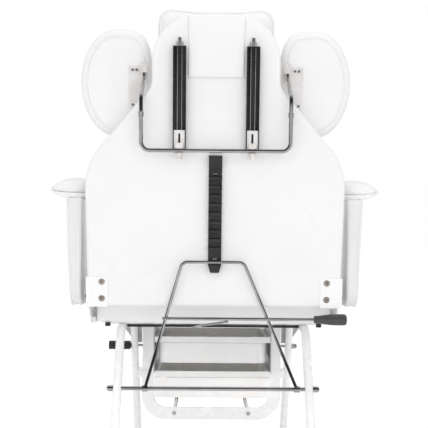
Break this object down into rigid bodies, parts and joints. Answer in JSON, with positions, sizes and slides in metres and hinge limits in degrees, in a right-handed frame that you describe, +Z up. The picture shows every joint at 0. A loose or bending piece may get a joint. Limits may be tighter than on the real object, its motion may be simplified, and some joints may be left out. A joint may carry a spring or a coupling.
{
  "type": "cosmetology bed",
  "caption": "Salon treatment bed on splayed white tube legs, with a reclining back held by a rod prop and rack, lift-off armrests, sliding arm pads, a leg section and trays.",
  "frame": {"origin": "on the floor, under the middle of the bed's width and length", "axes": "+X to the right seen from behind the back, +Y from the back towards the foot end, +Z up"},
  "size_m": [0.84, 1.2002, 1.2723],
  "materials": {
    "white_enamel": "smooth gloss powder coat",
    "white_upholstery": "white artificial leather, fine grain, satin",
    "chrome_rod": "bright chrome",
    "zinc_steel": "zinc plated steel, satin",
    "black_plastic": "moulded black plastic, satin",
    "black_rubber": "matt black rubber",
    "white_plastic": "moulded white plastic",
    "plywood": "bare plywood"
  },
  "bodies": {
    "root": {"side_frame_left": "white_enamel", "side_frame_right": "white_enamel", "frame_pads": "black_rubber", "rubber_feet": "black_rubber", "cross_bars": "black_plastic", "seat_board": "white_upholstery", "seat_cushion": "white_upholstery", "seat_studs": "black_rubber", "prop_axle": "chrome_rod", "axle_nuts": "chrome_rod", "back_hinge_ears": "white_enamel", "back_hinge_bolts": "chrome_rod", "leg_hinge_ears": "white_enamel", "leg_hinge_bolts": "chrome_rod", "tray_rail_left": "white_enamel", "tray_rail_right": "white_enamel", "hoop_brackets": "white_enamel", "hoop_stops": "white_enamel", "hoop_bolts": "chrome_rod", "rest_sockets": "white_enamel"},
    "backrest": {"back_board": "plywood", "back_cushion": "white_upholstery", "back_panel": "white_upholstery", "back_hinge_plates": "white_enamel", "plate_bolts": "zinc_steel", "prop_rack": "black_plastic", "rack_screws": "zinc_steel", "guide_rails": "black_plastic", "guide_wires": "chrome_rod", "rail_bolts": "zinc_steel"},
    "prop": {"prop_bail": "chrome_rod", "prop_handle": "chrome_rod", "handle_grip": "black_plastic", "prop_hook": "chrome_rod"},
    "arm_support": {"arm_bar": "chrome_rod", "arm_sliders": "zinc_steel", "arm_plates": "zinc_steel", "arm_plate_screws": "zinc_steel", "arm_pad_left": "white_upholstery", "arm_pad_right": "white_upholstery"},
    "head_pillow": {"pillow": "white_upholstery", "pillow_strap": "white_upholstery"},
    "leg_section": {"leg_board": "white_upholstery", "leg_cushion": "white_upholstery", "leg_hinge_plates": "white_enamel"},
    "hoop": {"foot_hoop": "white_enamel", "foot_rods": "chrome_rod", "foot_plate": "black_plastic", "hoop_screws": "chrome_rod"},
    "hoop_knob": {"clamp_knob": "black_plastic"},
    "tray_upper": {"upper_tray": "white_plastic"},
    "tray_lower": {"lower_tray": "white_plastic"},
    "rest_left": {"armrest_left": "white_upholstery", "armrest_pad_left": "white_upholstery", "armrest_pegs_left": "chrome_rod"},
    "rest_right": {"armrest_right": "white_upholstery", "armrest_pad_right": "white_upholstery", "armrest_pegs_right": "chrome_rod"}
  },
  "joints": [
    {"name": "back_recline", "type": "hinge", "parent": "root", "child": "backrest", "pos_m": [0, -0.41985, 0.552], "axis": [1, 0, 0], "range_deg": [0, 82]},
    {"name": "prop_swing", "type": "hinge", "parent": "root", "child": "prop", "pos_m": [0, -0.42225, 0.325], "axis": [1, 0, 0], "range_deg": [0, 50]},
    {"name": "arm_support_slide", "type": "slide", "parent": "backrest", "child": "arm_support", "axis": [0, -0.1392, 0.9903], "range_m": [0, 0.19]},
    {"name": "pillow_slide", "type": "slide", "parent": "backrest", "child": "head_pillow", "axis": [0, -0.1392, 0.9903], "range_m": [0, 0.12]},
    {"name": "leg_section_fold", "type": "hinge", "parent": "root", "child": "leg_section", "pos_m": [0, 0.14465, 0.4833], "axis": [1, 0, 0], "range_deg": [-45, 0]},
    {"name": "hoop_swing", "type": "hinge", "parent": "root", "child": "hoop", "pos_m": [0, 0.09225, 0.364], "axis": [1, 0, 0], "range_deg": [0, 35]},
    {"name": "knob_turn", "type": "hinge", "parent": "root", "child": "hoop_knob", "pos_m": [-0.285, 0.09225, 0.364], "axis": [1, 0, 0], "continuous": true},
    {"name": "upper_tray_slide", "type": "slide", "parent": "root", "child": "tray_upper", "axis": [0, -1, 0], "range_m": [0, 0.15]},
    {"name": "lower_tray_slide", "type": "slide", "parent": "root", "child": "tray_lower", "axis": [0, -1, 0], "range_m": [0, 0.15]},
    {"name": "left_armrest_lift", "type": "slide", "parent": "root", "child": "rest_left", "axis": [0, 0, 1], "range_m": [0, 0.055]},
    {"name": "right_armrest_lift", "type": "slide", "parent": "root", "child": "rest_right", "axis": [0, 0, 1], "range_m": [0, 0.055]}
  ],
  "couplings": [
    {"joint": "prop_swing", "follows": "back_recline", "ratio": 0.585}
  ]
}
